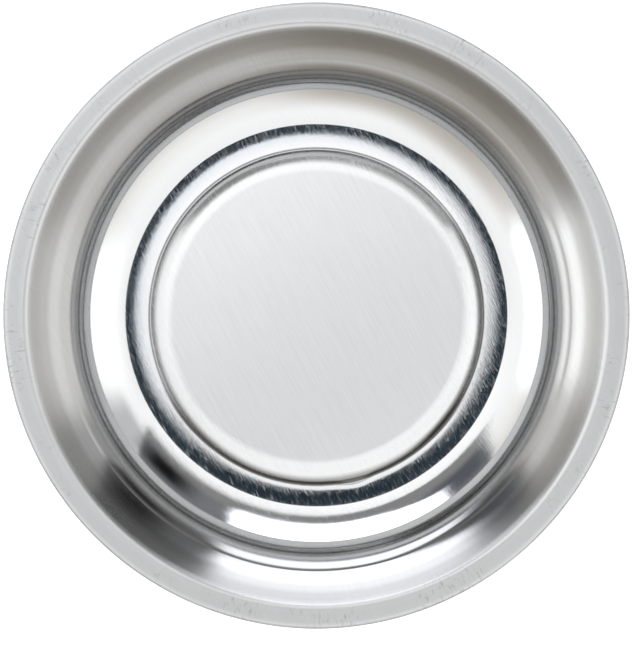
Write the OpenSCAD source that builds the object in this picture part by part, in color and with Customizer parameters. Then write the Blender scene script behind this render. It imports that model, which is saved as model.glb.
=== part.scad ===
// Round magnetic parts tray: a drawn steel dish with a raised flat centre,
// a ring magnet bonded under that centre and a moulded cover closing the base.
// Millimetres, +Z up, origin on the axis at the face the tray stands on.

/* [Dish] */
// Outside diameter over the rim
tray_d = 108; // [104:1:124]
// Height of the rim above the channel floor
bowl_depth = 15; // [13.5:0.5:22]
// Sheet thickness
sheet_t = 0.6; // [0.4:0.1:0.9]
// Height of the raised centre above the channel floor
plateau_h = 3.8; // [3.4:0.1:4.6]

/* [Rim] */
// Flat width of the rim flange
rim_w = 3.3; // [2:0.1:4]
// Slope of the flange, rising outward
rim_a = 0; // [0:0.5:3]
// Inside bend radius between the flare and the flange
rim_bend_r = 0.7; // [0.4:0.1:1.5]

/* [Wall] */
// Inside radius of the bend from the channel floor to the cove
crease_r = 2.5; // [1.5:0.1:4]
// Slope where the cove starts
cove_start_a = 18; // [12:1:22]
// Inside radius of the cove
cove_r = 15.2; // [13:0.2:18]
// Slope where the cove ends
cove_end_a = 43; // [36:1:46]
// Inside radius of the corner under the steep wall
corner_r = 2.5; // [1.5:0.1:4]
// Slope of the steep wall
wall_a = 79; // [70:1:84]
// Inside radius of the shoulder over the steep wall
shoulder_r = 5.4; // [4:0.2:6.4]
// Slope where the flare starts
flare_start_a = 28; // [22:1:34]
// Inside radius of the flare
flare_r = 17; // [14:0.2:22]
// Slope where the flare ends
flare_end_a = 45; // [40:1:50]
// Straight length of the flare under the rim bend
flare_len = 1.6; // [0.5:0.1:3]

/* [Raised centre] */
// Inside radius of the soft start of the edge of the raised centre
plateau_lead_r = 7.4; // [5:0.2:10]
// Slope where that soft start ends
plateau_lead_a = 14; // [6:1:20]
// Inside bend radius of the edge of the raised centre
plateau_edge_r = 2.4; // [1.2:0.1:2.8]
// Slope of the wall of the raised centre
plateau_wall_a = 82; // [70:1:86]
// Inside bend radius at the foot of the raised centre
plateau_foot_r = 0.3; // [0.2:0.1:1]

/* [Magnet] */
// Outside diameter of the ring magnet
magnet_d = 50; // [44:0.5:54]
// Bore of the ring magnet
magnet_bore_d = 22; // [16:0.5:30]
// Thickness of the ring magnet
magnet_t = 10; // [7:0.5:12]
// Chamfer on the magnet's edges
magnet_chamfer = 0.6; // [0.3:0.1:1]
// Room from the magnet's side to the bend over it
magnet_room = 0.6; // [0.2:0.1:1.5]
// Thickness of the adhesive layer on the magnet
magnet_bond_t = 0.3; // [0.2:0.05:0.5]
// Margin from the adhesive layer to the magnet's edges
magnet_bond_margin = 2; // [1:0.1:3]

/* [Base cover] */
// Thickness of the cover's floor
cover_floor_t = 2.2; // [1.6:0.1:3.5]
// Thickness of the cover's outer wall
cover_wall_t = 2.6; // [1.8:0.1:3.2]
// Rounding of the cover's lower edge
cover_edge_r = 1.2; // [0.6:0.1:1.6]
// Step in from the end of the channel floor to the cover's outside
cover_step = 0.3; // [0.1:0.1:0.8]
// Thickness of the adhesive bead on the cover's wall
cover_bond_t = 0.25; // [0.15:0.05:0.5]
// Margin from the adhesive bead to the wall's faces
cover_bond_margin = 0.3; // [0.2:0.1:0.6]
// Clearance between the magnet and its collar
collar_fit = 0.3; // [0.2:0.1:0.6]
// Thickness of the collar round the magnet
collar_t = 1.2; // [0.8:0.1:1.6]
// Height of the collar and its ribs above the cover's floor
collar_h = 4; // [2:0.5:5]
// Thickness of the ribs between collar and wall
rib_t = 1.4; // [1:0.1:2]
// Number of ribs
rib_count = 8; // [4:1:12]
// Width of the grip grooves in the underside
groove_w = 1.2; // [0.8:0.1:2]
// Depth of the grip grooves in the underside
groove_depth = 0.5; // [0.3:0.1:0.8]
// Distance between the grip grooves
groove_pitch = 4; // [3:0.25:5]
// Number of grip grooves
groove_count = 3; // [1:1:4]

/* [Hidden] */

$fn = 128;
// Largest turn between two points on a bend
bend_step_a = 5;
// Facets round the trimmed edge of the rim
edge_facets = 8;
// How far a cut runs past the face it opens
overrun = 1;

// A bend of radius r that turns the sheet from slope a to slope b
function bend_run(r, a, b) = r * abs(sin(b) - sin(a));
function bend_rise(r, a, b) = r * (cos(a) - cos(b)) * sign(b - a);
function total(list, i = 0) = i < len(list) ? list[i] + total(list, i + 1) : 0;

// Radii of the upper face, where the bends that turn down have the sheet inside them
plateau_lead_top_r = plateau_lead_r + sheet_t;
plateau_edge_top_r = plateau_edge_r + sheet_t;
shoulder_top_r = shoulder_r + sheet_t;
rim_bend_top_r = rim_bend_r + sheet_t;

// The trimmed edge of the rim is fully rounded
edge_r = sheet_t / 2;

// Heights, built up from the face the tray stands on
magnet_z = cover_floor_t;
magnet_bond_z = magnet_z + magnet_t;
plateau_under_z = magnet_bond_z + magnet_bond_t;
plateau_z = plateau_under_z + sheet_t;
floor_under_z = plateau_z - plateau_h - sheet_t;
cover_top_z = floor_under_z - cover_bond_t;

// The raised centre holds the magnet under its flat
magnet_r = magnet_d / 2;
plateau_flat_r = magnet_r + magnet_room;
plateau_bends = [
    [plateau_lead_top_r, 0, -plateau_lead_a],
    [plateau_edge_top_r, -plateau_lead_a, -plateau_wall_a],
    [plateau_foot_r, -plateau_wall_a, 0],
];
plateau_bends_drop = -total([for (b = plateau_bends) bend_rise(b[0], b[1], b[2])]);
plateau_bends_run = total([for (b = plateau_bends) bend_run(b[0], b[1], b[2])]);

// Its bends are drawn tighter by one share where its height is too small for them
plateau_bend_share = min(1, plateau_h / plateau_bends_drop);
plateau_wall_len = (plateau_h - plateau_bend_share * plateau_bends_drop) / sin(plateau_wall_a);
foot_end_r = plateau_flat_r + plateau_wall_len * cos(plateau_wall_a)
    + plateau_bend_share * plateau_bends_run;

// Bends of the wall from the channel floor up, each with its radius and its two slopes
wall_bends = [
    [crease_r, 0, cove_start_a],
    [cove_r, cove_start_a, cove_end_a],
    [corner_r, cove_end_a, wall_a],
    [shoulder_top_r, wall_a, flare_start_a],
    [flare_r, flare_start_a, flare_end_a],
];
bends_rise = total([for (b = wall_bends) bend_rise(b[0], b[1], b[2])]);
bends_run = total([for (b = wall_bends) bend_run(b[0], b[1], b[2])]);

// The straight of the flare, the rim bend, the flange and its edge stand over these bends
rim_rise = flare_len * sin(flare_end_a) + bend_rise(rim_bend_top_r, flare_end_a, rim_a)
    + rim_w * sin(rim_a) + edge_r * (1 - cos(rim_a));
rim_run = flare_len * cos(flare_end_a) + bend_run(rim_bend_top_r, flare_end_a, rim_a)
    + rim_w * cos(rim_a) + edge_r * (1 + sin(rim_a));

// Room for the wall, once the channel floor is wide enough for the cover's adhesive bead
wall_rise = bowl_depth - rim_rise;
floor_least_w = cover_step + cover_wall_t - cover_bond_margin;
wall_room = tray_d / 2 - rim_run - foot_end_r - floor_least_w;

// The bends of the wall are drawn tighter by one share where the depth or that room is short
wall_bend_share = min(
    1,
    wall_rise / bends_rise,
    (wall_room - wall_rise / tan(wall_a)) / (bends_run - bends_rise / tan(wall_a))
);

// The steep wall makes up the depth, and the channel floor makes up the radius
wall_len = (wall_rise - wall_bend_share * bends_rise) / sin(wall_a);
floor_end_r = tray_d / 2 - rim_run - wall_bend_share * bends_run - wall_len * cos(wall_a);
floor_w = floor_end_r - foot_end_r;

// The cover's wall stands under the channel floor, and its collar stands round the magnet
cover_r = floor_end_r - cover_step;
cover_inner_r = cover_r - cover_wall_t;
collar_r = magnet_r + collar_fit;

// Each leg of the upper face: a straight run, then a bend of this radius to this slope
legs = [
    [plateau_flat_r, plateau_bend_share * plateau_lead_top_r, -plateau_lead_a],
    [0, plateau_bend_share * plateau_edge_top_r, -plateau_wall_a],
    [plateau_wall_len, plateau_bend_share * plateau_foot_r, 0],
    [floor_w, wall_bend_share * crease_r, cove_start_a],
    [0, wall_bend_share * cove_r, cove_end_a],
    [0, wall_bend_share * corner_r, wall_a],
    [wall_len, wall_bend_share * shoulder_top_r, flare_start_a],
    [0, wall_bend_share * flare_r, flare_end_a],
    [flare_len, rim_bend_top_r, rim_a],
    [rim_w, 0, rim_a],
];

// Points of the upper face from the axis outward, each as radius, height and slope
function straight_end(p, len) = [p[0] + len * cos(p[2]), p[1] + len * sin(p[2]), p[2]];
function bend_point(p, r, a) = [
    p[0] + r * (sin(a) - sin(p[2])) * sign(a - p[2]),
    p[1] + bend_rise(r, p[2], a),
    a,
];
function bend_points(p, r, end_a) =
    let (steps = ceil(abs(end_a - p[2]) / bend_step_a))
    [for (i = [1 : 1 : steps]) bend_point(p, r, p[2] + (end_a - p[2]) * i / steps)];
function leg_points(p, leg) =
    let (q = straight_end(p, leg[0]))
    concat(leg[0] > 0 ? [q] : [], bend_points(q, leg[1], leg[2]));
function face_points(i, p) =
    i == len(legs) ? [] :
    let (points = leg_points(p, legs[i]))
    concat(points, face_points(i + 1, points[len(points) - 1]));

// A point at this depth under a point of the upper face
function under(p, depth) = [p[0] + depth * sin(p[2]), p[1] - depth * cos(p[2])];

module bowl() {
    axis_point = [0, plateau_z, 0];
    face = concat([axis_point], face_points(0, axis_point));
    last = len(face) - 1;
    edge_middle = under(face[last], edge_r);
    edge = [for (i = [1 : edge_facets - 1])
        let (a = rim_a + 90 - 180 * i / edge_facets)
        edge_middle + edge_r * [cos(a), sin(a)]];
    color("silver")
    rotate_extrude()
    polygon(concat(
        [for (p = face) under(p, 0)],
        edge,
        [for (i = [last : -1 : 0]) under(face[i], sheet_t)]
    ));
}

module magnet_bond() {
    color("tan")
    translate([0, 0, magnet_bond_z])
    difference() {
        cylinder(r = magnet_r - magnet_bond_margin, h = magnet_bond_t);
        translate([0, 0, -overrun])
        cylinder(r = magnet_bore_d / 2 + magnet_bond_margin, h = magnet_bond_t + 2 * overrun);
    }
}

module ring_magnet() {
    bore_r = magnet_bore_d / 2;
    c = magnet_chamfer;
    color("dimgray")
    translate([0, 0, magnet_z])
    rotate_extrude()
    polygon([
        [bore_r + c, 0],
        [magnet_r - c, 0],
        [magnet_r, c],
        [magnet_r, magnet_t - c],
        [magnet_r - c, magnet_t],
        [bore_r + c, magnet_t],
        [bore_r, magnet_t - c],
        [bore_r, c],
    ]);
}

module cover_bond() {
    color("tan")
    translate([0, 0, cover_top_z])
    difference() {
        cylinder(r = cover_r - cover_bond_margin, h = cover_bond_t);
        translate([0, 0, -overrun])
        cylinder(r = cover_inner_r + cover_bond_margin, h = cover_bond_t + 2 * overrun);
    }
}

// Section of the cover's floor and outer wall, with the lower edge rounded
module cover_section() {
    rounding = [for (a = [0 : bend_step_a : 90]) [
        cover_r - cover_edge_r * (1 - sin(a)),
        cover_edge_r * (1 - cos(a)),
    ]];
    polygon(concat([[0, 0]], rounding, [
        [cover_r, cover_top_z],
        [cover_inner_r, cover_top_z],
        [cover_inner_r, cover_floor_t],
        [0, cover_floor_t],
    ]));
}

module collar_and_ribs() {
    difference() {
        union() {
            cylinder(r = collar_r + collar_t, h = collar_h);
            for (i = [0 : rib_count - 1])
                rotate([0, 0, i * 360 / rib_count])
                translate([collar_r, -rib_t / 2, 0])
                cube([cover_r - cover_wall_t / 2 - collar_r, rib_t, collar_h]);
        }
        translate([0, 0, -overrun])
        cylinder(r = collar_r, h = collar_h + 2 * overrun);
    }
}

module base_cover() {
    outer_groove_r = cover_r - cover_edge_r - groove_pitch;
    color("#222222")
    difference() {
        union() {
            rotate_extrude() cover_section();
            translate([0, 0, cover_floor_t]) collar_and_ribs();
        }
        for (i = [0 : groove_count - 1])
            translate([0, 0, -overrun])
            difference() {
                cylinder(r = outer_groove_r - i * groove_pitch, h = groove_depth + overrun);
                translate([0, 0, -overrun])
                cylinder(r = outer_groove_r - i * groove_pitch - groove_w, h = groove_depth + 3 * overrun);
            }
    }
}

bowl();
magnet_bond();
ring_magnet();
cover_bond();
base_cover();
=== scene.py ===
import math

import bpy
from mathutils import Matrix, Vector


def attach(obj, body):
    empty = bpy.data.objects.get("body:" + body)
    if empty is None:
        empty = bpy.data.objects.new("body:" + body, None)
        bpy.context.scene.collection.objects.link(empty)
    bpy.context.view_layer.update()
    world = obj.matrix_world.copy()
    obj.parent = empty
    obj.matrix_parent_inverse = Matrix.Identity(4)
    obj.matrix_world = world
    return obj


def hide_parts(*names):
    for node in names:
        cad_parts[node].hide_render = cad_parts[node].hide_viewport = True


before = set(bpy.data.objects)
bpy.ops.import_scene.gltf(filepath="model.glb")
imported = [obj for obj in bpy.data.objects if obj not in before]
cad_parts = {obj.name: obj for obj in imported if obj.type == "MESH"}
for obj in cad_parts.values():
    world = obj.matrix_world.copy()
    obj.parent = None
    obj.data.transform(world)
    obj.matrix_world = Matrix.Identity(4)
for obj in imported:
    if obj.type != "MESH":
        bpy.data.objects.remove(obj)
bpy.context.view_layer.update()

mm = 0.001
axisGap = 1e-6              # mm; a point nearer than this lies on the axis
noiseMiddle = 0.5           # what a noise texture gives on average
noiseLimits = (0.3, 0.7)    # nearly all of it lies between these


def hexColour(code):
    # sRGB hex to the linear values that the shaders use
    parts = [int(code[i:i + 2], 16) / 255 for i in (0, 2, 4)]
    linear = [c / 12.92 if c <= 0.04045 else ((c + 0.055) / 1.055) ** 2.4 for c in parts]
    return (*linear, 1.0)


def addNode(tree, kind, settings=None, links=None):
    node = tree.nodes.new(kind)
    for key, value in (settings or {}).items():
        if isinstance(key, int) or key in node.inputs:
            node.inputs[key].default_value = value
        else:
            setattr(node, key, value)
    for key, source in (links or {}).items():
        tree.links.new(source, node.inputs[key])
    return node


def newMaterial(name):
    material = bpy.data.materials.new(name)
    material.use_nodes = True
    material.node_tree.nodes.clear()
    return material


def setStops(ramp, stops):
    # stops are (place from 0 to 1, grey level or sRGB hex)
    elements = ramp.color_ramp.elements
    while len(elements) > 1:
        elements.remove(elements[-1])
    for i, (place, level) in enumerate(stops):
        stop = elements[0] if i == 0 else elements.new(place)
        stop.position = place
        stop.color = hexColour(level) if isinstance(level, str) else (level, level, level, 1.0)


# The dish, in millimetres and degrees, all on the upper face. It refines the solid's profile,
# by less than half a millimetre apart from the pushes.
bowlSizes = {
    "trayD": 108.0,
    "depth": 15.0,
    "sheetT": 0.6,
    "plateauZ": 13.5,
    "plateauH": 4.2,
    "plateauFlatR": 25.3,
    "plateauCrownA": 2.3,      # the flat centre is very slightly crowned
    "plateauLeadR": 5.6,
    "plateauLeadA": 23.0,
    "plateauBrowR": 14.0,
    "plateauBrowA": 33.0,
    "plateauEdgeR": 0.8,
    "plateauWallA": 86.0,
    "plateauFootR": 0.3,
    "floorInnerA": 7.5,        # the channel floor is very slightly hollow
    "floorOuterA": 5.0,
    "creaseR": 1.0,
    "coveStartA": 23.0,
    "coveR": 18.73,
    "coveEndA": 44.0,
    "kinkR": 0.3,
    "coneStartA": 45.4,        # all but straight up to the foot of the steep wall
    "coneR": 124.4,
    "coneEndA": 46.2,
    "cornerR": 0.4,
    "wallA": 74.0,
    "shoulderR": 6.4,
    "dieLineA": 29.5,          # the sheet flattens where the die ended
    "dieLineR": 0.8,
    "flareStartA": 34.3,
    "flareR": 24.63,
    "flareEndA": 45.5,
    "flareLen": 2.1,
    "rimBendR": 1.4,
    "rimW": 2.95,
    "plateauWallStart": 0.8,   # first guesses of the two steep walls' lengths
    "wallStart": 1.5,
    "settleRounds": 8,
    "straightStep": 2.5,
    "bendStepA": 1.5,
    "edgeFacets": 12,
    "segments": 432,
    "uvScale": 8.0,            # the map only gives a direction, so its scale is free
    "pushes": [
        {                      # the foot of the raised centre lies a little off the axis
            "angle": 270.0,
            "halfWidth": 80.0,
            "push": 0.45,
            "reach": (26.5, 29.2, 30.15, 31.1),
        },
        {                      # a small knock has pushed it further out here
            "angle": 283.0,
            "halfWidth": 8.0,
            "push": 0.4,
            "reach": (29.2, 30.1, 30.6, 31.9),
        },
    ],
}


def sinD(a):
    return math.sin(math.radians(a))


def cosD(a):
    return math.cos(math.radians(a))


def bendRun(r, a, b):
    return r * abs(sinD(b) - sinD(a))


def bendRise(r, a, b):
    return r * (cosD(a) - cosD(b)) * (1 if b > a else -1)


def bowlFace(s):
    # upper face from the axis outward, each point as radius, height and slope
    crownR = s["plateauFlatR"] / sinD(s["plateauCrownA"])
    centreBends = [
        (crownR, 0, -s["plateauCrownA"]),
        (s["plateauLeadR"], -s["plateauCrownA"], -s["plateauLeadA"]),
        (s["plateauBrowR"], -s["plateauLeadA"], -s["plateauBrowA"]),
        (s["plateauEdgeR"], -s["plateauBrowA"], -s["plateauWallA"]),
        (s["plateauFootR"], -s["plateauWallA"], -s["floorInnerA"]),
    ]
    wallBends = [
        (s["creaseR"], s["floorOuterA"], s["coveStartA"]),
        (s["coveR"], s["coveStartA"], s["coveEndA"]),
        (s["kinkR"], s["coveEndA"], s["coneStartA"]),
        (s["coneR"], s["coneStartA"], s["coneEndA"]),
        (s["cornerR"], s["coneEndA"], s["wallA"]),
        (s["shoulderR"], s["wallA"], s["dieLineA"]),
        (s["dieLineR"], s["dieLineA"], s["flareStartA"]),
        (s["flareR"], s["flareStartA"], s["flareEndA"]),
        (s["rimBendR"], s["flareEndA"], 0),
    ]
    wallRun = sum(bendRun(*b) for b in wallBends) + s["flareLen"] * cosD(s["flareEndA"])
    wallRise = sum(bendRise(*b) for b in wallBends) + s["flareLen"] * sinD(s["flareEndA"])
    rimR = s["trayD"] / 2 - s["sheetT"] / 2 - s["rimW"]
    floorTurn = sinD(s["floorInnerA"]) + sinD(s["floorOuterA"])
    plateauWall = s["plateauWallStart"]
    wallLen = s["wallStart"]
    centreRun = sum(bendRun(*b) for b in centreBends)
    centreRise = sum(bendRise(*b) for b in centreBends)
    for _ in range(s["settleRounds"]):  # the hollow floor and the two steep walls settle each other
        footR = plateauWall * cosD(s["plateauWallA"]) + centreRun
        floorR = (rimR - wallRun - wallLen * cosD(s["wallA"]) - footR) / floorTurn
        sink = floorR * (1 - cosD(s["floorInnerA"]))
        lift = floorR * (1 - cosD(s["floorOuterA"]))
        plateauWall = (s["plateauH"] - sink + centreRise) / sinD(s["plateauWallA"])
        wallLen = (s["depth"] - lift - wallRise) / sinD(s["wallA"])
    legs = [
        (0, crownR, -s["plateauCrownA"]),
        (0, s["plateauLeadR"], -s["plateauLeadA"]),
        (0, s["plateauBrowR"], -s["plateauBrowA"]),
        (0, s["plateauEdgeR"], -s["plateauWallA"]),
        (plateauWall, s["plateauFootR"], -s["floorInnerA"]),
        (0, floorR, s["floorOuterA"]),
        (0, s["creaseR"], s["coveStartA"]),
        (0, s["coveR"], s["coveEndA"]),
        (0, s["kinkR"], s["coneStartA"]),
        (0, s["coneR"], s["coneEndA"]),
        (0, s["cornerR"], s["wallA"]),
        (wallLen, s["shoulderR"], s["dieLineA"]),
        (0, s["dieLineR"], s["flareStartA"]),
        (0, s["flareR"], s["flareEndA"]),
        (s["flareLen"], s["rimBendR"], 0),
        (s["rimW"], 0, 0),
    ]
    r = 0.0
    z = s["plateauZ"]
    a = 0.0
    points = [(r, z, a)]
    for length, bend, end in legs:
        pieces = max(1, round(length / s["straightStep"]))
        for i in range(pieces if length > 0 else 0):
            r += length / pieces * cosD(a)
            z += length / pieces * sinD(a)
            points.append((r, z, a))
        startR = r
        startZ = z
        startA = a
        steps = math.ceil(abs(end - a) / s["bendStepA"])
        for i in range(1, steps + 1):
            a = startA + (end - startA) * i / steps
            r = startR + bend * (sinD(a) - sinD(startA)) * (1 if end > startA else -1)
            z = startZ + bendRise(bend, startA, a)
            points.append((r, z, a))
    return points


def turnedMesh(name, outline, segments):
    # a closed lathe mesh; the outline starts and ends on the axis
    verts = []
    faces = []
    rings = []
    for r, z in outline:
        if r < axisGap:
            rings.append([len(verts)])
            verts.append((0, 0, z * mm))
            continue
        rings.append(list(range(len(verts), len(verts) + segments)))
        for i in range(segments):
            turn = 2 * math.pi * i / segments
            verts.append((r * math.cos(turn) * mm, r * math.sin(turn) * mm, z * mm))
    for inner, outer in zip(rings, rings[1:]):
        for i in range(segments):
            j = (i + 1) % segments
            if len(inner) == 1:
                faces.append((inner[0], outer[i], outer[j]))
            elif len(outer) == 1:
                faces.append((inner[i], outer[0], inner[j]))
            else:
                faces.append((inner[i], outer[i], outer[j], inner[j]))
    mesh = bpy.data.meshes.new(name)
    mesh.from_pydata(verts, [], faces)
    mesh.shade_smooth()
    return mesh


def makeBowl(s):
    face = bowlFace(s)
    upper = [(p[0], p[1]) for p in face]
    lower = [(max(0, p[0] + s["sheetT"] * sinD(p[2])), p[1] - s["sheetT"] * cosD(p[2])) for p in face]
    # the trimmed edge is fully rounded
    edgeR = s["sheetT"] / 2
    turns = [90 - 180 * i / s["edgeFacets"] for i in range(1, s["edgeFacets"])]
    edge = [(upper[-1][0] + edgeR * cosD(t), upper[-1][1] - edgeR + edgeR * sinD(t)) for t in turns]
    mesh = turnedMesh("bowlShell", upper + edge + lower[::-1], s["segments"])
    for vertex in mesh.vertices:
        for push in s["pushes"]:
            r = math.hypot(vertex.co.x, vertex.co.y) / mm
            turn = math.degrees(math.atan2(vertex.co.y, vertex.co.x))
            aside = (turn - push["angle"] + 180) % 360 - 180
            start, full, hold, end = push["reach"]
            share = max(0, min((r - start) / (full - start), 1, (end - r) / (end - hold)))
            if share > 0 and abs(aside) < push["halfWidth"]:
                swell = (1 + math.cos(math.pi * aside / push["halfWidth"])) / 2
                outward = push["push"] * share * swell
                vertex.co.x *= 1 + outward / r
                vertex.co.y *= 1 + outward / r
    # faces of the underside take the second material slot
    upperFaces = (len(upper) + len(edge) - 1) * s["segments"]
    for polygon in mesh.polygons:
        polygon.material_index = 0 if polygon.index < upperFaces else 1
    # U runs across the sheet's grain, so that the brushed finish has its direction
    grain = math.radians(sheetFinish["grainA"])
    along = Vector((math.cos(grain), math.sin(grain), 0))
    across = Vector((-math.sin(grain), math.cos(grain), 0))
    layer = mesh.uv_layers.new(name="sheetGrain")
    for loop in mesh.loops:
        place = mesh.vertices[loop.vertex_index].co
        layer.data[loop.index].uv = (place.dot(across) * s["uvScale"], place.dot(along) * s["uvScale"])
    bowl = bpy.data.objects.new("drawnBowl", mesh)
    bpy.context.scene.collection.objects.link(bowl)
    return bowl


# Stainless sheet, brushed before it was drawn: the grain runs one way over the whole dish.
# The flat centre keeps its brushed look and the drawn channel is burnished bright.
# Above the steep wall the sheet is duller and darker, and the rim is satin with small scuffs.
# Painted shade lies on the sheet too: dark lines at the raised centre's foot and at the steep wall's foot,
# a darker band in that foot on one side, and a darker stain on one side of the shoulder.
sheetFinish = {
    "colour": "F2F4F7",
    "dullFinishAndShadeColour": "A3A3A2",
    "grainA": 118.0,
    "grainWidth": 0.17,        # real grain is nearer 0.05 mm; drawn coarser so that it shows
    "grainLength": 2.0,
    "grainDetail": 3,
    "grainHeight": 0.036,
    "lineWidth": 0.3,          # lines of the brushing that show as light and dark
    "lineLength": 12.0,
    "lineDetail": 3,
    "hairWidth": 0.09,         # single deeper scratches of the brushing, drawn coarser too
    "hairLength": 2.0,
    "hairDetail": 1,
    "hairLimits": (0.54, 0.76),
    "hairRoughness": 0.5,
    "streakRoughness": 0.6,
    "waveLength": 9.0,         # the drawn sheet is never quite even
    "waveDetail": 1,
    "waveHeight": 0.012,
    "wobble": 0.12,            # the borders of the bands are not quite round, mm
    "wobbleLength": 12.0,
    "wobbleDetail": 0,
    "scuffWidth": 0.5,         # short scuffs across the rim, in groups
    "scuffLength": 1.4,
    "scuffDetail": 3,
    "scuffLimits": (0.54, 0.74),
    "scuffGroup": 7.0,
    "scuffGroupDetail": 1,
    "scuffGroupLimits": (0.48, 0.62),
    # colour of the scuffs and of the painted shade at the feet of the raised centre and the steep wall
    "scuffAndPaintedShadeColour": "5E5A56",
    "anisotropy": 0.8,
    "roughness": [             # radius in mm, roughness
        (0.0, 0.45),
        (25.6, 0.45),
        (27.0, 0.2),
        (28.4, 0.12),
        (29.4, 0.06),
        (33.0, 0.06),
        (33.9, 0.08),
        (34.5, 0.1),
        (35.6, 0.06),
        (41.1, 0.05),
        (41.25, 0.3),
        (42.0, 0.24),
        (43.4, 0.15),
        (44.3, 0.12),
        (45.3, 0.12),
        (46.5, 0.15),
        (47.5, 0.15),
        (49.2, 0.2),
        (49.7, 0.34),
        (50.9, 0.48),
        (51.6, 0.6),
        (54.0, 0.6),
    ],
    "grainShow": [             # radius in mm, strength of the grain and the hairs
        (0.0, 0.4),
        (29.0, 0.35),
        (30.0, 0.6),
        (31.2, 0.68),
        (32.0, 0.56),
        (32.7, 0.43),
        (33.4, 0.41),
        (34.1, 0.54),
        (35.0, 0.4),
        (37.0, 0.2),
        (39.8, 0.12),
        (40.2, 0.03),
        (42.2, 0.03),
        (43.5, 0.06),
        (50.0, 0.1),
        (54.0, 0.2),
    ],
    "lineShow": [              # radius in mm, how far the lines go towards the dull colour
        (0.0, 0.3),
        (26.0, 0.3),
        (29.0, 0.1),
        (36.0, 0.1),
        (40.0, 0.05),
        (44.0, 0.12),
        (54.0, 0.14),
    ],
    "dullFinishAndShade": [                  # radius in mm, share of the dull colour, which also paints shade on the raised centre's wall
        (0.0, 0.06),
        (25.5, 0.06),
        (27.0, 0.2),
        # from 28.4 to 30.2 mm, on the raised centre's steep wall, the dull share rises as painted shade
        (28.4, 0.2),
        (29.0, 0.4),
        (29.9, 0.4),
        (30.2, 0.26),
        (33.5, 0.28),
        (36.0, 0.2),
        (39.9, 0.2),
        (40.05, 0.0),
        (41.55, 0.05),
        (41.8, 0.55),
        (42.2, 0.96),
        (42.7, 0.96),
        (43.0, 0.84),
        (43.6, 0.92),
        (44.5, 0.9),
        (45.3, 0.8),
        (46.2, 0.82),
        (47.0, 1.0),
        (49.2, 1.0),
        (49.7, 0.75),
        (50.0, 0.45),
        (50.3, 0.4),
        (50.8, 0.36),
        (53.0, 0.34),
        (53.5, 0.12),
        (53.7, 0.0),
        (53.85, 1.0),
    ],
    "paintedShadeAndScuffs": [                 # painted shade: dark lines at the raised centre's foot and at the foot of the steep wall
        (29.55, 0.0),
        (29.68, 0.45),
        (29.86, 0.75),
        (29.93, 0.0),
        (41.1, 0.0),
        (41.13, 0.95),
        (41.3, 0.95),
        (41.33, 0.0),
        (41.54, 0.0),
        (41.58, 0.92),
        (41.78, 0.92),
        (41.82, 0.0),
    ],
    "paintedFootShadeA": 268.0,            # painted shade lies in the raised centre's foot on this side
    "paintedFootShadeSpan": (0.35, 0.7),   # cosine of the angle from there where it begins and is full
    "paintedFootShade": [
        (28.3, 0.0),
        (28.7, 0.16),
        (29.1, 0.46),
        (29.5, 0.68),
        (29.9, 0.85),
        (30.2, 0.95),
        (30.26, 0.0),
    ],
    "paintedFootShadeThinA": 352.0,           # and thinner painted shade in the same foot on this side
    "paintedFootShadeThinSpan": (0.65, 0.9),
    "paintedFootShadeThin": [
        (28.3, 0.0),
        (28.7, 0.3),
        (29.2, 0.6),
        (29.86, 0.75),
        (29.93, 0.0),
    ],
    "paintedShoulderShadeColour": "5F5A4E",    # painted shade on one side of the shoulder
    "paintedShoulderShadeA": 88.0,
    "paintedShoulderShadeSpan": (0.55, 0.85),
    "paintedShoulderShade": [
        (41.3, 0.0),
        (41.9, 0.35),
        (42.5, 0.5),
        (43.0, 0.28),
        (44.0, 0.15),
        (44.6, 0.1),
        (49.0, 0.1),
        (49.6, 0.0),
    ],
    "scuffShow": [             # radius in mm, how dark the scuffs are
        (0.0, 0.0),
        (42.0, 0.0),
        (43.0, 0.05),
        (49.5, 0.05),
        (51.0, 0.34),
        (54.0, 0.34),
    ],
}


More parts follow.
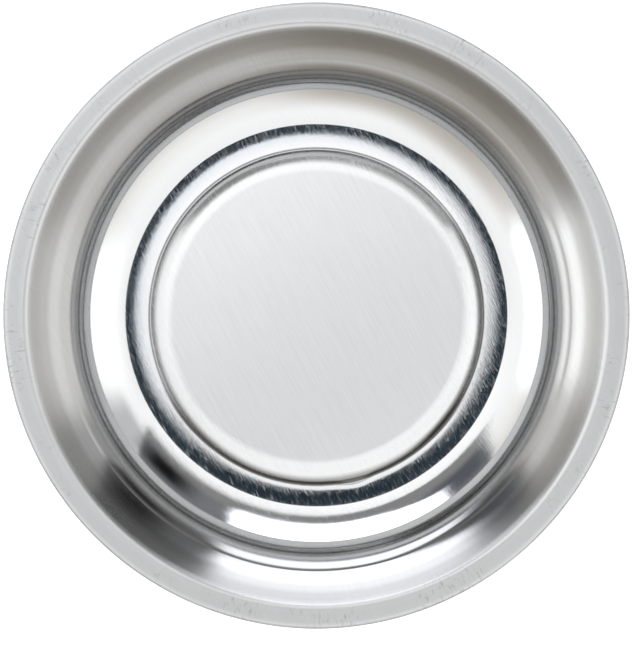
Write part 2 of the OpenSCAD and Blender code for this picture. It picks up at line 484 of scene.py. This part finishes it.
def steelMaterial(f):
    material = newMaterial("stainlessSheetBrushedThenDrawn")
    tree = material.node_tree
    coords = addNode(tree, "ShaderNodeTexCoord")
    flat = addNode(tree, "ShaderNodeVectorMath", {"operation": "MULTIPLY", 1: (1, 1, 0)},
                   {0: coords.outputs["Object"]})
    radius = addNode(tree, "ShaderNodeVectorMath", {"operation": "LENGTH"}, {0: flat.outputs[0]})
    reach = bowlSizes["trayD"] / 2
    wobble = addNode(tree, "ShaderNodeTexNoise", {
        "Scale": 1 / (f["wobbleLength"] * mm),
        "Detail": f["wobbleDetail"],
    }, {"Vector": coords.outputs["Object"]})
    radius = addNode(tree, "ShaderNodeMath", {"operation": "MULTIPLY_ADD", 1: f["wobble"] * mm},
                     {0: wobble.outputs["Fac"], 2: radius.outputs["Value"]})
    place = addNode(tree, "ShaderNodeMapRange", {
        "From Min": f["wobble"] / 2 * mm,
        "From Max": (reach + f["wobble"] / 2) * mm,
    }, {"Value": radius.outputs[0]})
    ramps = {}
    shares = ("roughness", "grainShow", "lineShow", "dullFinishAndShade", "paintedShadeAndScuffs", "paintedFootShade", "paintedFootShadeThin", "paintedShoulderShade", "scuffShow")
    for key in shares:
        ramps[key] = addNode(tree, "ShaderNodeValToRGB", {}, {"Fac": place.outputs[0]})
        setStops(ramps[key], [(r / reach, level) for r, level in f[key]])
    # grain and hairs run along the brushing
    turned = addNode(tree, "ShaderNodeMapping", {"Rotation": (0, 0, -math.radians(f["grainA"]))},
                     {"Vector": coords.outputs["Object"]})
    streaks = {}
    for key in ("grain", "line", "hair"):
        streakPlace = addNode(tree, "ShaderNodeVectorMath", {
            "operation": "MULTIPLY",
            1: (1 / (f[key + "Length"] * mm), 1 / (f[key + "Width"] * mm), 0),
        }, {0: turned.outputs[0]})
        streaks[key] = addNode(tree, "ShaderNodeTexNoise", {
            "Scale": 1,
            "Detail": f[key + "Detail"],
            "Roughness": f["streakRoughness"],
        }, {"Vector": streakPlace.outputs[0]})
    hair = addNode(tree, "ShaderNodeMapRange", {
        "interpolation_type": "SMOOTHSTEP",
        "From Min": f["hairLimits"][0],
        "From Max": f["hairLimits"][1],
        "To Max": f["hairRoughness"],
    }, {"Value": streaks["hair"].outputs["Fac"]})
    rough = addNode(tree, "ShaderNodeMath", {"operation": "MULTIPLY_ADD"}, {
        0: hair.outputs[0],
        1: ramps["grainShow"].outputs["Color"],
        2: ramps["roughness"].outputs["Color"],
    })
    wave = addNode(tree, "ShaderNodeTexNoise", {
        "Scale": 1 / (f["waveLength"] * mm),
        "Detail": f["waveDetail"],
    }, {"Vector": coords.outputs["Object"]})
    swell = addNode(tree, "ShaderNodeBump", {"Distance": f["waveHeight"] * mm},
                    {"Height": wave.outputs["Fac"]})
    bump = addNode(tree, "ShaderNodeBump", {"Distance": f["grainHeight"] * mm}, {
        "Height": streaks["grain"].outputs["Fac"],
        "Strength": ramps["grainShow"].outputs["Color"],
        "Normal": swell.outputs[0],
    })
    lines = addNode(tree, "ShaderNodeMath", {"operation": "SUBTRACT", 1: noiseMiddle},
                    {0: streaks["line"].outputs["Fac"]})
    lines = addNode(tree, "ShaderNodeMath", {"operation": "MULTIPLY_ADD"}, {
        0: lines.outputs[0],
        1: ramps["lineShow"].outputs["Color"],
        2: ramps["dullFinishAndShade"].outputs["Color"],
    })
    # the dull colour is raised as painted shade on the raised centre's steep wall
    colour = addNode(tree, "ShaderNodeMix", {
        "data_type": "RGBA",
        6: hexColour(f["colour"]),
        7: hexColour(f["dullFinishAndShadeColour"]),
    }, {0: lines.outputs[0]})
    parts = addNode(tree, "ShaderNodeSeparateXYZ", {}, {0: coords.outputs["Object"]})
    # scuffs lie across the rim, and a coarser noise gathers them in groups
    turn = addNode(tree, "ShaderNodeMath", {"operation": "ARCTAN2"},
                   {0: parts.outputs["Y"], 1: parts.outputs["X"]})
    turn = addNode(tree, "ShaderNodeMath", {"operation": "MULTIPLY", 1: reach / f["scuffWidth"]},
                   {0: turn.outputs[0]})
    outward = addNode(tree, "ShaderNodeMath", {"operation": "DIVIDE", 1: f["scuffLength"] * mm},
                      {0: radius.outputs[0]})
    scuffPlace = addNode(tree, "ShaderNodeCombineXYZ", {}, {"X": turn.outputs[0], "Y": outward.outputs[0]})
    scuff = addNode(tree, "ShaderNodeTexNoise", {"Scale": 1, "Detail": f["scuffDetail"]},
                    {"Vector": scuffPlace.outputs[0]})
    scuff = addNode(tree, "ShaderNodeMapRange", {
        "From Min": f["scuffLimits"][0],
        "From Max": f["scuffLimits"][1],
    }, {"Value": scuff.outputs["Fac"]})
    group = addNode(tree, "ShaderNodeTexNoise", {
        "Scale": 1 / (f["scuffGroup"] * mm),
        "Detail": f["scuffGroupDetail"],
    }, {"Vector": coords.outputs["Object"]})
    group = addNode(tree, "ShaderNodeMapRange", {
        "From Min": f["scuffGroupLimits"][0],
        "From Max": f["scuffGroupLimits"][1],
    }, {"Value": group.outputs["Fac"]})
    scuff = addNode(tree, "ShaderNodeMath", {"operation": "MULTIPLY"},
                    {0: scuff.outputs[0], 1: group.outputs[0]})
    # the scuffs and the painted shade lines are added up in one share
    paintedShadeAndScuffs = addNode(tree, "ShaderNodeMath", {"operation": "MULTIPLY_ADD"}, {
        0: scuff.outputs[0],
        1: ramps["scuffShow"].outputs["Color"],
        2: ramps["paintedShadeAndScuffs"].outputs["Color"],
    })
    # the painted shade at the raised centre's foot and on the shoulder lies on one side only, by the
    # cosine of the angle from its middle
    outwardWay = addNode(tree, "ShaderNodeVectorMath", {"operation": "NORMALIZE"}, {0: flat.outputs[0]})
    sided = {}
    for key in ("paintedFootShade", "paintedFootShadeThin", "paintedShoulderShade"):
        side = addNode(tree, "ShaderNodeVectorMath", {
            "operation": "DOT_PRODUCT",
            1: (cosD(f[key + "A"]), sinD(f[key + "A"]), 0),
        }, {0: outwardWay.outputs[0]})
        side = addNode(tree, "ShaderNodeMapRange", {
            "interpolation_type": "SMOOTHSTEP",
            "From Min": f[key + "Span"][0],
            "From Max": f[key + "Span"][1],
        }, {"Value": side.outputs["Value"]})
        sided[key] = addNode(tree, "ShaderNodeMath", {"operation": "MULTIPLY"},
                             {0: side.outputs[0], 1: ramps[key].outputs["Color"]})
    # painted shade on one side of the shoulder
    colour = addNode(tree, "ShaderNodeMix", {"data_type": "RGBA", 7: hexColour(f["paintedShoulderShadeColour"])},
                     {0: sided["paintedShoulderShade"].outputs[0], 6: colour.outputs[2]})
    # painted shade on one side of the raised centre's foot joins the lines and scuffs
    for key in ("paintedFootShade", "paintedFootShadeThin"):
        paintedShadeAndScuffs = addNode(tree, "ShaderNodeMath", {"operation": "ADD", "use_clamp": True},
                        {0: sided[key].outputs[0], 1: paintedShadeAndScuffs.outputs[0]})
    colour = addNode(tree, "ShaderNodeMix", {"data_type": "RGBA", 7: hexColour(f["scuffAndPaintedShadeColour"])},
                     {0: paintedShadeAndScuffs.outputs[0], 6: colour.outputs[2]})
    direction = addNode(tree, "ShaderNodeTangent", {"direction_type": "UV_MAP", "uv_map": "sheetGrain"})
    steel = addNode(tree, "ShaderNodeBsdfPrincipled", {
        "Metallic": 1.0,
        "Anisotropic": f["anisotropy"],
    }, {
        "Base Color": colour.outputs[2],
        "Roughness": rough.outputs[0],
        "Normal": bump.outputs[0],
        "Tangent": direction.outputs[0],
    })
    addNode(tree, "ShaderNodeOutputMaterial", {}, {"Surface": steel.outputs[0]})
    return material


# Mill finish of the same sheet on the side that was never polished: even, dull grey
underFinish = {
    "colour": "B9BABA",
    "roughness": (0.34, 0.46),
    "mottle": 3.0,             # size of the mottling, mm
    "mottleDetail": 4,
}


def undersideMaterial(f):
    material = newMaterial("stainlessSheetMillFinish")
    tree = material.node_tree
    coords = addNode(tree, "ShaderNodeTexCoord")
    mottle = addNode(tree, "ShaderNodeTexNoise", {
        "Scale": 1 / (f["mottle"] * mm),
        "Detail": f["mottleDetail"],
    }, {"Vector": coords.outputs["Object"]})
    rough = addNode(tree, "ShaderNodeMapRange", {
        "From Min": noiseLimits[0],
        "From Max": noiseLimits[1],
        "To Min": f["roughness"][0],
        "To Max": f["roughness"][1],
    }, {"Value": mottle.outputs["Fac"]})
    steel = addNode(tree, "ShaderNodeBsdfPrincipled", {
        "Base Color": hexColour(f["colour"]),
        "Metallic": 1.0,
    }, {"Roughness": rough.outputs[0]})
    addNode(tree, "ShaderNodeOutputMaterial", {}, {"Surface": steel.outputs[0]})
    return material


bowl = makeBowl(bowlSizes)
bowl.data.materials.append(steelMaterial(sheetFinish))
bowl.data.materials.append(undersideMaterial(underFinish))
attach(bowl, "root")
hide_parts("bowl")
print("bowl:", len(bowl.data.polygons), "faces")


# Moulded nitrile rubber, matt black with a fine spark-eroded mould texture and faint bloom
rubberFinish = {
    "colours": ("17181A", "232527"),
    "roughness": (0.55, 0.75),
    "texture": 0.25,           # mould texture pitch, mm
    "textureDetail": 2,
    "textureHeight": 0.02,
    "textureStrength": 0.6,
    "bloom": 9.0,              # patches of bloom, mm
    "bloomDetail": 5,
    "ior": 1.52,
}


def rubberMaterial(f):
    material = newMaterial("nitrileRubberMoulded")
    tree = material.node_tree
    coords = addNode(tree, "ShaderNodeTexCoord")
    fine = addNode(tree, "ShaderNodeTexNoise", {
        "Scale": 1 / (f["texture"] * mm),
        "Detail": f["textureDetail"],
    }, {"Vector": coords.outputs["Object"]})
    bloom = addNode(tree, "ShaderNodeTexNoise", {
        "Scale": 1 / (f["bloom"] * mm),
        "Detail": f["bloomDetail"],
    }, {"Vector": coords.outputs["Object"]})
    colour = addNode(tree, "ShaderNodeMix", {
        "data_type": "RGBA",
        6: hexColour(f["colours"][0]),
        7: hexColour(f["colours"][1]),
    }, {0: bloom.outputs["Fac"]})
    rough = addNode(tree, "ShaderNodeMapRange", {
        "From Min": noiseLimits[0],
        "From Max": noiseLimits[1],
        "To Min": f["roughness"][0],
        "To Max": f["roughness"][1],
    }, {"Value": bloom.outputs["Fac"]})
    bump = addNode(tree, "ShaderNodeBump", {
        "Strength": f["textureStrength"],
        "Distance": f["textureHeight"] * mm,
    }, {"Height": fine.outputs["Fac"]})
    rubber = addNode(tree, "ShaderNodeBsdfPrincipled", {"IOR": f["ior"]}, {
        "Base Color": colour.outputs[2],
        "Roughness": rough.outputs[0],
        "Normal": bump.outputs[0],
    })
    addNode(tree, "ShaderNodeOutputMaterial", {}, {"Surface": rubber.outputs[0]})
    return material


# Sintered ferrite, ground on its faces: charcoal grey with fine pores
ferriteFinish = {
    "colours": ("2B2C2F", "3E4043"),
    "pores": 0.4,              # size of the pores, mm
    "poreDetail": 4,
    "roughness": (0.45, 0.65),
    "ior": 2.3,
}


def ferriteMaterial(f):
    material = newMaterial("ferriteSinteredGround")
    tree = material.node_tree
    coords = addNode(tree, "ShaderNodeTexCoord")
    pores = addNode(tree, "ShaderNodeTexNoise", {
        "Scale": 1 / (f["pores"] * mm),
        "Detail": f["poreDetail"],
    }, {"Vector": coords.outputs["Object"]})
    colour = addNode(tree, "ShaderNodeMix", {
        "data_type": "RGBA",
        6: hexColour(f["colours"][0]),
        7: hexColour(f["colours"][1]),
    }, {0: pores.outputs["Fac"]})
    rough = addNode(tree, "ShaderNodeMapRange", {
        "From Min": noiseLimits[0],
        "From Max": noiseLimits[1],
        "To Min": f["roughness"][0],
        "To Max": f["roughness"][1],
    }, {"Value": pores.outputs["Fac"]})
    ferrite = addNode(tree, "ShaderNodeBsdfPrincipled", {"IOR": f["ior"]}, {
        "Base Color": colour.outputs[2],
        "Roughness": rough.outputs[0],
    })
    addNode(tree, "ShaderNodeOutputMaterial", {}, {"Surface": ferrite.outputs[0]})
    return material


# Two-part epoxy, squeezed and cured: amber with cloudy streaks
epoxyFinish = {
    "colours": ("B79A62", "CDB685"),
    "cloud": 2.0,              # size of the clouds, mm
    "cloudDetail": 3,
    "roughness": 0.25,
    "ior": 1.55,
}


def epoxyMaterial(f):
    material = newMaterial("epoxyCured")
    tree = material.node_tree
    coords = addNode(tree, "ShaderNodeTexCoord")
    cloud = addNode(tree, "ShaderNodeTexNoise", {
        "Scale": 1 / (f["cloud"] * mm),
        "Detail": f["cloudDetail"],
    }, {"Vector": coords.outputs["Object"]})
    colour = addNode(tree, "ShaderNodeMix", {
        "data_type": "RGBA",
        6: hexColour(f["colours"][0]),
        7: hexColour(f["colours"][1]),
    }, {0: cloud.outputs["Fac"]})
    epoxy = addNode(tree, "ShaderNodeBsdfPrincipled", {"IOR": f["ior"], "Roughness": f["roughness"]},
                    {"Base Color": colour.outputs[2]})
    addNode(tree, "ShaderNodeOutputMaterial", {}, {"Surface": epoxy.outputs[0]})
    return material


def dressNode(name, material):
    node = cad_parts[name]
    node.data.materials.clear()
    node.data.materials.append(material)


dressNode("base_cover", rubberMaterial(rubberFinish))
dressNode("ring_magnet", ferriteMaterial(ferriteFinish))
bondMaterial = epoxyMaterial(epoxyFinish)
dressNode("magnet_bond", bondMaterial)
dressNode("cover_bond", bondMaterial)
print("hidden pieces dressed")


# White room round the tray. Azimuth is counted from +X towards +Y, and zenith from straight up.
studio = {
    "strength": 1.2,
    "levels": [                # zenith angle, colour of the room
        (0.0, "EFF5FD"),
        (9.0, "F3F7FC"),
        (17.0, "FBFAF8"),
        (58.0, "FBFAF8"),
        (72.0, "F3F1ED"),
        (80.0, "E7E4DF"),
        (90.0, "D1CECA"),
    ],
    # azimuth, half width, its loss for each degree of zenith, zenith, half height, softness, colour
    # and brightness; a later one covers those before it
    "patches": [
        (100.0, 70.0, 0.0, 30.0, 16.0, 12.0, "FFFEFC", 1.12),  # paler ceiling
        (0.0, 20.0, 0.0, 74.0, 24.0, 9.0, "FFFEFC", 1.15),     # pale wall
        (31.0, 8.0, 0.0, 76.0, 16.0, 5.0, "FFFFFF", 0.52),
        (225.0, 17.0, 0.0, 80.0, 20.0, 12.0, "F5F0E9", 0.74),  # the side where the camera stands
        (247.0, 30.0, 0.0, 84.0, 16.0, 14.0, "F3EADE", 0.54),
        (262.0, 60.0, 0.0, 92.0, 5.0, 2.0, "F4ECE2", 0.22),
        (183.0, 21.0, 0.0, 85.0, 18.0, 6.0, "FFFFFF", 1.3),    # window and its sill
        (183.0, 18.0, 0.0, 69.5, 7.0, 4.0, "FFFFFF", 1.8),
        (89.5, 52.5, 0.15, 76.0, 25.0, 1.0, "F2F3F6", 0.2),   # the opening opposite
        (89.5, 55.0, 0.4, 57.0, 5.5, 1.5, "F6F4F2", 0.25),
        (132.0, 9.0, 0.0, 70.0, 9.0, 5.0, "DCE4F0", 0.125),
        (45.5, 8.0, 0.0, 69.0, 9.0, 6.0, "FFFFFF", 0.008),    # its dark end
        (96.5, 28.5, 0.0, 90.0, 19.0, 2.5, "F8FAFF", 1.5),    # soft box and the table before it
        (96.5, 28.5, 0.0, 76.0, 8.0, 2.5, "F8FAFF", 2.3),
        (88.0, 20.5, 0.0, 67.0, 6.0, 2.5, "F8FAFF", 2.3),
        (96.0, 21.0, -2.2, 65.0, 3.5, 2.0, "F8FAFF", 2.3),
    ],
}


def makeStudio(s):
    world = bpy.data.worlds.new("whiteRoom")
    world.use_nodes = True
    bpy.context.scene.world = world
    tree = world.node_tree
    tree.nodes.clear()
    coords = addNode(tree, "ShaderNodeTexCoord")
    parts = addNode(tree, "ShaderNodeSeparateXYZ", {}, {0: coords.outputs["Generated"]})
    zenith = addNode(tree, "ShaderNodeMath", {"operation": "ARCCOSINE"}, {0: parts.outputs["Z"]})
    zenith = addNode(tree, "ShaderNodeMath", {"operation": "DEGREES"}, {0: zenith.outputs[0]})
    azimuth = addNode(tree, "ShaderNodeMath", {"operation": "ARCTAN2"},
                      {0: parts.outputs["Y"], 1: parts.outputs["X"]})
    azimuth = addNode(tree, "ShaderNodeMath", {"operation": "DEGREES"}, {0: azimuth.outputs[0]})
    height = addNode(tree, "ShaderNodeMapRange", {"From Max": 90}, {"Value": zenith.outputs[0]})
    room = addNode(tree, "ShaderNodeValToRGB", {}, {"Fac": height.outputs[0]})
    setStops(room, [(angle / 90, level) for angle, level in s["levels"]])
    light = room.outputs["Color"]
    for middle, halfWide, lean, level, halfHigh, soft, code, brightness in s["patches"]:
        aside = addNode(tree, "ShaderNodeMath", {"operation": "SUBTRACT", 1: middle},
                        {0: azimuth.outputs[0]})
        aside = addNode(tree, "ShaderNodeMath", {"operation": "WRAP", 1: 180, 2: -180},
                        {0: aside.outputs[0]})
        aside = addNode(tree, "ShaderNodeMath", {"operation": "ABSOLUTE"}, {0: aside.outputs[0]})
        above = addNode(tree, "ShaderNodeMath", {"operation": "SUBTRACT", 1: level},
                        {0: zenith.outputs[0]})
        aside = addNode(tree, "ShaderNodeMath", {"operation": "MULTIPLY_ADD", 1: lean},
                        {0: above.outputs[0], 2: aside.outputs[0]})
        wide = addNode(tree, "ShaderNodeMapRange", {
            "interpolation_type": "SMOOTHSTEP",
            "From Min": halfWide + soft,
            "From Max": halfWide - soft,
        }, {"Value": aside.outputs[0]})
        above = addNode(tree, "ShaderNodeMath", {"operation": "ABSOLUTE"}, {0: above.outputs[0]})
        high = addNode(tree, "ShaderNodeMapRange", {
            "interpolation_type": "SMOOTHSTEP",
            "From Min": halfHigh + soft,
            "From Max": halfHigh - soft,
        }, {"Value": above.outputs[0]})
        mask = addNode(tree, "ShaderNodeMath", {"operation": "MULTIPLY"},
                       {0: wide.outputs[0], 1: high.outputs[0]})
        colour = [c * brightness for c in hexColour(code)[:3]]
        mixed = addNode(tree, "ShaderNodeMix", {"data_type": "RGBA", 7: (*colour, 1)},
                        {0: mask.outputs[0], 6: light})
        light = mixed.outputs[2]
    room = addNode(tree, "ShaderNodeBackground", {"Strength": s["strength"]}, {"Color": light})
    plain = addNode(tree, "ShaderNodeBackground", {"Color": (1, 1, 1, 1), "Strength": 1.0})
    path = addNode(tree, "ShaderNodeLightPath")
    shown = addNode(tree, "ShaderNodeMixShader", {},
                    {0: path.outputs["Is Camera Ray"], 1: room.outputs[0], 2: plain.outputs[0]})
    addNode(tree, "ShaderNodeOutputWorld", {}, {"Surface": shown.outputs[0]})


makeStudio(studio)


# Camera straight over the dish, with the dark body that it is held in
cameraSizes = {
    "above": 420.0,            # over the rim, mm
    "lens": 133.8,
    "sensor": 36.0,
    "clipEnd": 50.0,           # m
    "picturePx": 656,
    "shiftPx": (3.54, -12.5),
    "card": [                  # outline of the dark body: angle, reach in mm
        (0, 101), (20, 82), (45, 72), (90, 69), (180, 69), (200, 85), (212, 105), (225, 139),
        (245, 151), (270, 155), (305, 154), (328, 144), (345, 130), (360, 101),
    ],
    "cardSteps": 6,
    "cardGap": 2.0,            # over the camera's place, mm
    "cardGlowColour": "27333C",
}


def makeFlat(name, corners, z):
    mesh = bpy.data.meshes.new(name)
    mesh.from_pydata([(x * mm, y * mm, z * mm) for x, y in corners], [], [list(range(len(corners)))])
    piece = bpy.data.objects.new(name, mesh)
    bpy.context.scene.collection.objects.link(piece)
    return piece


def makeCamera(c):
    rimZ = bowlSizes["plateauZ"] - bowlSizes["plateauH"] + bowlSizes["depth"]
    data = bpy.data.cameras.new("overheadCamera")
    data.lens = c["lens"]
    data.sensor_width = c["sensor"]
    data.shift_x = c["shiftPx"][0] / c["picturePx"]
    data.shift_y = c["shiftPx"][1] / c["picturePx"]
    data.clip_end = c["clipEnd"]
    camera = bpy.data.objects.new("overheadCamera", data)
    camera.location = (0, 0, (rimZ + c["above"]) * mm)
    bpy.context.scene.collection.objects.link(camera)
    bpy.context.scene.camera = camera
    outline = []
    for (startA, startR), (endA, endR) in zip(c["card"], c["card"][1:]):
        for i in range(c["cardSteps"]):
            share = i / c["cardSteps"]
            a = startA + (endA - startA) * share
            r = startR + (endR - startR) * share
            outline.append((r * cosD(a), r * sinD(a)))
    card = makeFlat("cameraBody", outline, rimZ + c["above"] + c["cardGap"])
    # painted light: the body takes no light and glows with a fixed dark colour instead
    material = newMaterial("cameraBodyDarkGlow")
    tree = material.node_tree
    glow = addNode(tree, "ShaderNodeEmission", {"Color": hexColour(c["cardGlowColour"]), "Strength": 1.0})
    addNode(tree, "ShaderNodeOutputMaterial", {}, {"Surface": glow.outputs[0]})
    card.data.materials.append(material)
    card.visible_camera = False


makeCamera(cameraSizes)


# Seamless white table, lit so far up that it burns out to plain white
floorFinish = {
    "half": 3000.0,
    "drop": 0.05,              # just under the base, so that the two faces don't share a plane
    "colour": "E8E8E8",
    "roughness": 0.9,
    "specular": 0.1,
    "glow": 0.55,
}


def makeFloor(f):
    half = f["half"]
    corners = [(-half, -half), (half, -half), (half, half), (-half, half)]
    floor = makeFlat("studioFloor", corners, -f["drop"])
    material = newMaterial("whitePaperSweep")
    tree = material.node_tree
    paper = addNode(tree, "ShaderNodeBsdfPrincipled", {
        "Base Color": hexColour(f["colour"]),
        "Roughness": f["roughness"],
        "Specular IOR Level": f["specular"],
        "Emission Color": (1, 1, 1, 1),
        "Emission Strength": f["glow"],
    })
    addNode(tree, "ShaderNodeOutputMaterial", {}, {"Surface": paper.outputs[0]})
    floor.data.materials.append(material)


makeFloor(floorFinish)
bpy.context.scene.view_settings.view_transform = "Standard"
print("studio ready")
